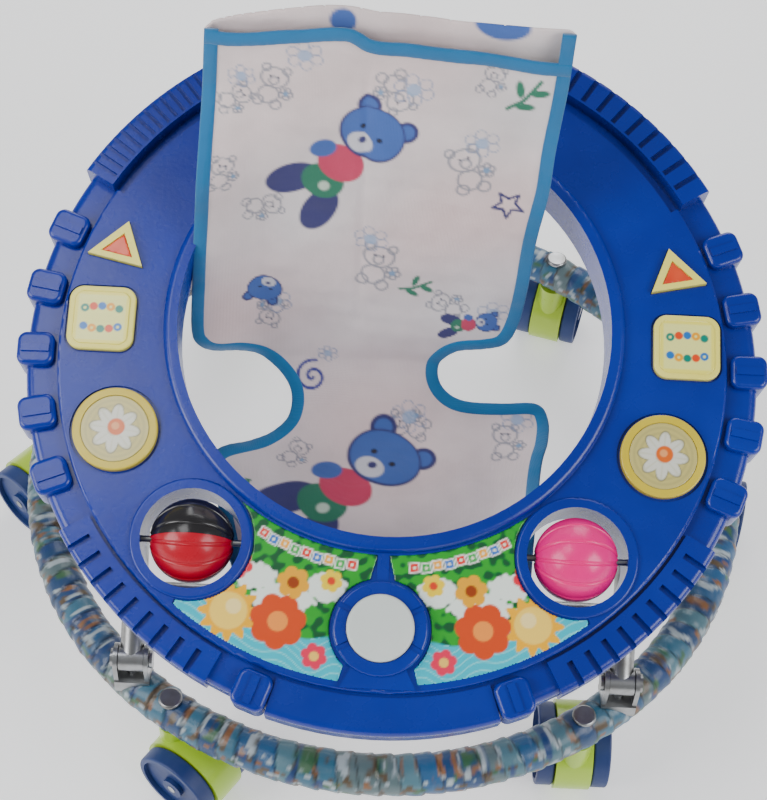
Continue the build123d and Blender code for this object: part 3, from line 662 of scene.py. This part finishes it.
# Outline of the cloth as (across, down from near the back's head), in millimetres
RIGHT_EDGE = [(97, 1), (96, 40), (93, 83), (92, 113), (88, 150), (86, 195), (83, 224), (76, 241), (62, 247),
              (44, 250), (33, 260), (32, 272), (38, 282), (51, 288), (76, 289), (101, 288), (109, 299),
              (108, 320), (103, 343), (99, 380), (92, 455)]
LEFT_EDGE = [(-90, 455), (-101, 420), (-110, 385), (-113, 364), (-114, 350), (-96, 334), (-80, 320),
             (-69, 306), (-67, 290), (-73, 277), (-87, 264), (-104, 256), (-121, 248), (-130, 239), (-134, 226),
             (-132, 183), (-129, 134), (-124, 59), (-121, 9)]
CREST = [(-121, 9), (-109, 4), (-89, -1), (-65, -5), (-39, -7.5), (-18, -5), (5, -3.5), (34, -1), (64, 0),
         (97, 1)]
MOUTH = [(-121, 10), (-100, 11), (-65, 7), (-39, 4), (-30, 6), (-20, 11), (6, 13), (42, 15.5), (78, 20),
         (97, 21)]


def seat_path():
    """Sling's middle line, evenly spaced, with its running length in millimetres."""
    line = resample(curve_through(SEAT_LINE), 1.0)
    return line, along(line)


LINE, LINE_S = seat_path()
LINE_TANGENT = np.gradient(LINE, axis=0)
LINE_TANGENT /= np.linalg.norm(LINE_TANGENT, axis=1)[:, None]
FOOT_DOWN, FOOT_Z = 241.0, 238.8
HEAD_S = np.interp(-FOOT_Z, -LINE[:280, 1], LINE_S[:280]) - FOOT_DOWN


def seat_surface(points, offset):
    """Cloth points (across, down) in the walker's frame, offset towards the child, all in millimetres."""
    across, down = points[:, 0], points[:, 1]
    s = down + HEAD_S
    y, z = (np.interp(s, LINE_S, LINE[:, k]) for k in (0, 1))
    ty, tz = (np.interp(s, LINE_S, LINE_TANGENT[:, k]) for k in (0, 1))
    normal = np.stack([np.zeros_like(y), tz, -ty], axis=1)
    back = 1 - smooth(235, 275, down)
    pinch = (18 * smooth(86, 130, -across) + 4 * smooth(70, 95, across)) * smooth(40, 120, down) * back
    sag = -7 * np.cos(np.clip(across / 115, -1, 1) * math.pi / 2)
    sag = sag * smooth(275, 320, down) * (1 - smooth(400, 455, down))
    curl = 9 * smooth(70, 118, np.abs(across)) * smooth(300, 345, down) * (1 - smooth(380, 440, down))
    lift = offset + pinch + sag + curl + wrinkles(across, down)
    base = np.stack([across, y, z], axis=1)
    return SEAT_O + (base + normal * lift[:, None]) * MM


def wrinkles(across, down):
    """Soft folds of the cloth: a pressed middle crease, pulls at the seat's foot and at the front."""
    p = np.stack([across, down], axis=1)
    crease = -1.6 * np.exp(-((across + 24) / 3.2)**2) * smooth(20, 50, down) * (1 - smooth(215, 250, down))
    ridge = 1.2 * np.exp(-((across + 12) / 9)**2) * smooth(20, 60, down) * (1 - smooth(215, 250, down))
    bend = 1.5 * np.sin(across / 19 + down / 31) * np.exp(-((down - 232) / 26)**2)
    pull = 2.2 * np.sin((across * 0.55 + down) / 9.5) * smooth(350, 400, down) * smooth(-10, 60, across)
    tug = 1.4 * np.sin((down - across * 0.7) / 12) * smooth(330, 370, down) * smooth(0, 70, -across)
    return crease + ridge + bend + pull + tug + 0.9 * lump_noise(p, 55, 11) + 0.35 * lump_noise(p, 20, 12)


BEAR_BLUE, BEAR_DARK = linear(64, 100, 176), linear(52, 52, 110)
PRINT_RED, PRINT_GREEN, LINE_GREY = linear(206, 60, 96), linear(38, 122, 92), linear(138, 140, 152)
CLOTH_WHITE, CLOTH_PINK = linear(232, 224, 224), linear(236, 214, 212)


def local_points(points, centre, angle, size):
    """Points seen from a motif's own middle, turn and size."""
    c, s = math.cos(math.radians(angle)), math.sin(math.radians(angle))
    q = (points - np.array(centre)) / size
    return np.stack([q[:, 0] * c + q[:, 1] * s, -q[:, 0] * s + q[:, 1] * c], axis=1)


def blue_bear(points, colours, centre, angle, size, body=True):
    """Plain blue bear in a red top and green trousers; its body hangs along +Y of its own frame."""
    p = local_points(points, centre, angle, size)
    if body:
        for x, y, lean in ((-0.62, 2.35, 0.5), (0.5, 2.65, -0.2)):
            colours = paint(colours, ellipse(p, (x, y), (0.42, 0.72), lean), BEAR_DARK, 0.03)
        colours = paint(colours, ellipse(p, (0, 1.9), (0.56, 0.5)), PRINT_GREEN, 0.03)
        colours = paint(colours, disc(p, (0.12, 2.0), 0.14), linear(200, 220, 200), 0.04)
        colours = paint(colours, ellipse(p, (0, 1.2), (0.62, 0.52)), PRINT_RED, 0.03)
        colours = paint(colours, ellipse(p, (-0.62, 1.15), (0.26, 0.34), 0.6), BEAR_BLUE, 0.03)
    for x in (-0.6, 0.6):
        colours = paint(colours, disc(p, (x, -0.6), 0.3), BEAR_DARK, 0.03)
        colours = paint(colours, disc(p, (x, -0.6), 0.2), BEAR_BLUE, 0.03)
    colours = paint(colours, ellipse(p, (0, 0), (0.86, 0.76)), BEAR_DARK, 0.03)
    colours = paint(colours, ellipse(p, (0, -0.02), (0.8, 0.7)), BEAR_BLUE, 0.03)
    colours = paint(colours, ellipse(p, (-0.05, 0.4), (0.34, 0.28)), linear(214, 214, 222), 0.03)
    colours = paint(colours, disc(p, (-0.05, 0.32), 0.1), BEAR_DARK, 0.03)
    for x in (-0.3, 0.24):
        colours = paint(colours, disc(p, (x, 0.0), 0.07), linear(20, 20, 40), 0.03)
    return colours


def line_bear(points, colours, centre, angle, size):
    """Line drawing of a bear holding flowers."""
    p = local_points(points, centre, angle, size)
    shapes = [ellipse(p, (0, 0), (0.55, 0.46)), disc(p, (-0.42, -0.4), 0.17), disc(p, (0.42, -0.4), 0.17),
              disc(p, (0, 0.14), 0.18), ellipse(p, (-0.05, 0.85), (0.42, 0.42)), disc(p, (-0.4, 1.2), 0.22),
              disc(p, (0.35, 1.25), 0.22)]
    for k in range(5):
        petal = (0.62 + 0.17 * math.cos(k * 1.26), 0.62 + 0.17 * math.sin(k * 1.26))
        shapes.append(disc(p, petal, 0.12))
    for shape in shapes:
        colours = paint(colours, np.abs(shape) - 0.04, LINE_GREY, 0.03, 0.85)
    colours = paint(colours, disc(p, (0.62, 0.62), 0.12), linear(120, 160, 200), 0.03, 0.8)
    for x in (-0.16, 0.16):
        colours = paint(colours, disc(p, (x, -0.06), 0.05), linear(70, 70, 90), 0.02)
    return colours


def posy(points, colours, centre, size):
    """Small loose bunch of outlined flowers."""
    for k in range(6):
        angle = k * 1.047 + 0.4
        spot = np.array(centre) + size * np.array([math.cos(angle), 0.8 * math.sin(angle)])
        ring = np.abs(disc(points, spot, size * 0.42)) - 0.35
        colours = paint(colours, ring, linear(120, 140, 180), 0.5, 0.75)
    return paint(colours, disc(points, centre, size * 0.5), linear(150, 178, 214), 0.5, 0.8)


def brush_mark(points, colours, centre, angle, size, tint, kind):
    """Bold brush mark: a spiral, a sprig with leaves or a star."""
    p = local_points(points, centre, angle, size)
    if kind == "spiral":
        turn = np.linspace(0.8, 11, 40)
        path = np.stack([np.cos(turn), np.sin(turn)], axis=1) * (turn / 12)[:, None]
    elif kind == "sprig":
        path = np.array([(-0.1, 0.9), (0.1, 0.2), (0.0, -0.9)])
        for y, lean in ((0.35, 0.7), (-0.1, -0.7), (-0.5, 0.7)):
            leaf = ellipse(p, (0.36 * np.sign(lean), y), (0.4, 0.17), -lean)
            colours = paint(colours, leaf, tint, 0.04)
    else:
        turn = np.arange(11) * 2 * math.pi / 10
        reach = np.where(np.arange(11) % 2, 0.42, 0.95)
        path = np.stack([np.cos(turn), np.sin(turn)], axis=1) * reach[:, None]
    return paint(colours, stroke(p, [tuple(q) for q in path], 0.17), tint, 0.04)


def seat_paint(points):
    """Colour of the printed cotton at cloth points (across, down)."""
    fade = 0.5 + 0.5 * lump_noise(points, 110, 5)
    colours = CLOTH_WHITE * (1 - fade[:, None]) + CLOTH_PINK * fade[:, None]
    for centre, angle, size in (((-80, 40), 15, 15), ((-100, 52), 60, 12), ((-4, 52), 160, 15),
                                ((38, 93), -20, 18), ((-12, 172), 10, 18), ((-84, 228), 200, 13),
                                ((-82, 134), 80, 13), ((30, 208), -60, 13), ((80, 312), 0, 15),
                                ((8, 305), -75, 14), ((-112, 100), 10, 12), ((-60, 330), 30, 12),
                                ((52, 30), 20, 11)):
        colours = line_bear(points, colours, centre, angle, size)
    for centre, size in (((-62, 24), 8), ((4, 44), 9), ((48, 80), 8), ((-18, 158), 8), ((-80, 214), 8),
                         ((66, 216), 8), ((14, 300), 9), ((88, 300), 8), ((-100, 40), 6), ((-44, 258), 5)):
        colours = posy(points, colours, centre, size)
    colours = blue_bear(points, colours, (-20, 77), 39, 25)
    colours = blue_bear(points, colours, (-2, 334), 42, 31)
    colours = blue_bear(points, colours, (-87, 203), 200, 14, body=False)
    colours = blue_bear(points, colours, (62, 224), 80, 10)
    colours = brush_mark(points, colours, (71, 44), 40, 15, PRINT_GREEN, "sprig")
    colours = brush_mark(points, colours, (68, 126), 20, 11, BEAR_DARK, "star")
    colours = brush_mark(points, colours, (13, 195), 70, 12, PRINT_GREEN, "sprig")
    colours = brush_mark(points, colours, (-54, 276), 10, 13, linear(60, 66, 150), "spiral")
    colours = brush_mark(points, colours, (-98, 372), 30, 11, PRINT_GREEN, "star")
    colours = paint(colours, ellipse(points, (54, -1), (17, 11), 0.2), BEAR_BLUE, 1.0)
    return paint(colours, disc(points, (-40, 2), 8), BEAR_BLUE, 1.0)


def closed_outline(right, left, top):
    """Closed cloth outline: down its right edge, up its left edge and across its top."""
    return np.vstack([curve_through(right, 8), curve_through(left, 8), curve_through(top, 8)[1:-1]])


def seat_front():
    """One piece of printed cotton: back, crotch and front flap."""
    lower_right = [(97, 21)] + RIGHT_EDGE[1:]
    outline = closed_outline(lower_right, LEFT_EDGE, MOUTH)
    points, faces = cut_sheet(outline, 1.2)
    obj = make_mesh("seat_cloth", seat_surface(points, 0.0), faces, CLOTH, colours=seat_paint(points))
    thicken(obj, 1.4 * MM)
    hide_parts("seat_sling", "backrest_pad")
    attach(obj, "tray")


def seat_back():
    """Rear cloth of the pocket that the board stands in."""
    right, left = ([p for p in edge if p[1] < 244] for edge in (RIGHT_EDGE, LEFT_EDGE))
    points, faces = cut_sheet(closed_outline(right, left, CREST), 1.6)
    seam = np.minimum(stroke(points, curve_through(right, 8), 0), stroke(points, curve_through(left, 8), 0))
    closed = smooth(0, 3.5, seam) * (1 - smooth(230, 241, points[:, 1]))
    bulge = -0.9 - closed * (8.1 - 3.5 * (1 - smooth(0, 26, points[:, 1])))
    obj = make_mesh("seat_pocket_back", seat_surface(points, bulge), faces, CLOTH, colours=seat_paint(points))
    thicken(obj, 1.2 * MM)
    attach(obj, "tray")


def band(name, path, wide, thick, offset=0.0):
    """Folded binding tape over a cloth edge: path is (across, down) with the cloth on its left."""
    path = resample(path, 2.0)
    tangent = np.gradient(path, axis=0)
    tangent /= np.linalg.norm(tangent, axis=1)[:, None]
    inward = np.stack([-tangent[:, 1], tangent[:, 0]], axis=1)
    section = [(-0.6, 0.0), (-0.3, 0.75), (0.8, 1.0), (wide * 0.5, 1.08), (wide - 0.6, 1.0), (wide, 0.55),
               (wide, -0.55), (wide - 0.6, -1.0), (wide * 0.5, -1.08), (0.8, -1.0), (-0.3, -0.75)]
    rows = []
    for reach, height in section:
        ripple = 0.12 * np.sin(np.arange(len(path)) * 1.9 + reach)
        lift = offset + height * thick / 2 + ripple * np.sign(height)
        rows.append(seat_surface(path + inward * reach, lift))
    verts = np.stack(rows, axis=1).reshape(-1, 3)
    count, around = len(path), len(section)
    index = np.arange(count * around).reshape(count, around)
    up = np.roll(index, -1, axis=1)
    faces = np.stack([index[:-1], index[1:], up[1:], up[:-1]], axis=-1).reshape(-1, 4).tolist()
    faces += [index[0].tolist(), index[-1][::-1].tolist()]
    obj = make_mesh(name, verts, faces, BINDING)
    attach(obj, "tray")
    return obj


def bindings():
    """Sky-blue tape along both sides of the cloth and along the pocket's mouth."""
    edges = {"binding_right": (RIGHT_EDGE, 3.4, 0.0), "binding_left": (LEFT_EDGE, 3.4, 0.0),
             "binding_mouth": (MOUTH, 3.0, 0.8)}
    for name, (edge, thick, offset) in edges.items():
        piece = band(name, curve_through(edge, 10), 8.0, thick, offset)


# ---------------------------------------------------------------- stage


def floor():
    """Pale plain floor."""
    material, nodes, links, shader = new_material("floor_look")
    cloud = add_noise(nodes, links, 3, 3)
    stops = [(0.3, (0.80, 0.80, 0.80)), (0.7, (0.84, 0.84, 0.84))]
    ramp = add_ramp(nodes, links, cloud.outputs["Fac"], stops)
    links.new(ramp.outputs["Color"], shader.inputs["Base Color"])
    shader.inputs["Roughness"].default_value = 0.9
    shader.inputs["Emission Color"].default_value = (1, 1, 1, 1)
    shader.inputs["Emission Strength"].default_value = 0.55
    half = 6.0
    obj = make_mesh("floor", [(-half, -half, 0), (half, -half, 0), (half, half, 0), (-half, half, 0)],
                    [(0, 1, 2, 3)], material)


def light(name, place, target, size, power, tint=(1, 1, 1)):
    """Soft square light aimed at a point."""
    data = bpy.data.lights.new(name, "AREA")
    data.size = size
    data.energy = power
    data.color = tint
    obj = bpy.data.objects.new(name, data)
    obj.location = place
    obj.rotation_euler = (Vector(target) - Vector(place)).to_track_quat("-Z", "Y").to_euler()
    bpy.context.collection.objects.link(obj)


def lights():
    """Soft studio light: a window-like one overhead on the left, and large fills from the sides."""
    middle = (0, 0, 0.25)
    light("window", (-0.62, -0.22, 1.75), (-0.15, -0.05, 0.3), 0.6, 5)
    light("left", (-1.7, -0.9, 1.35), middle, 1.3, 34)
    light("right", (1.7, -1.1, 1.5), middle, 1.4, 34, (0.97, 0.98, 1))
    light("back", (0.2, 2.0, 1.6), middle, 1.6, 28)
    world = bpy.data.worlds.new("room")
    world.use_nodes = True
    world.node_tree.nodes["Background"].inputs["Color"].default_value = (0.95, 0.97, 1, 1)
    world.node_tree.nodes["Background"].inputs["Strength"].default_value = 0.3
    bpy.context.scene.world = world


def camera():
    """Camera above the front of the tray."""
    data = bpy.data.cameras.new("camera")
    data.lens = 78.75
    data.sensor_width = 36
    data.clip_end = 30
    obj = bpy.data.objects.new("camera", data)
    turn = (Matrix.Rotation(math.radians(-0.4), 3, "Z") @ Matrix.Rotation(math.radians(90 - 50.9), 3, "X")
            @ Matrix.Rotation(math.radians(3.2), 3, "Z"))
    place = Vector((RING_MID[0] - 0.0096, RING_MID[1] - 0.7848, 1.1338))
    obj.matrix_world = Matrix.Translation(place) @ turn.to_4x4()
    bpy.context.collection.objects.link(obj)
    bpy.context.scene.camera = obj


camera()
lights()
floor()
dress_cad()
ring_wrap()
labels()
seat_front()
seat_back()
bindings()
bpy.context.view_layer.update()
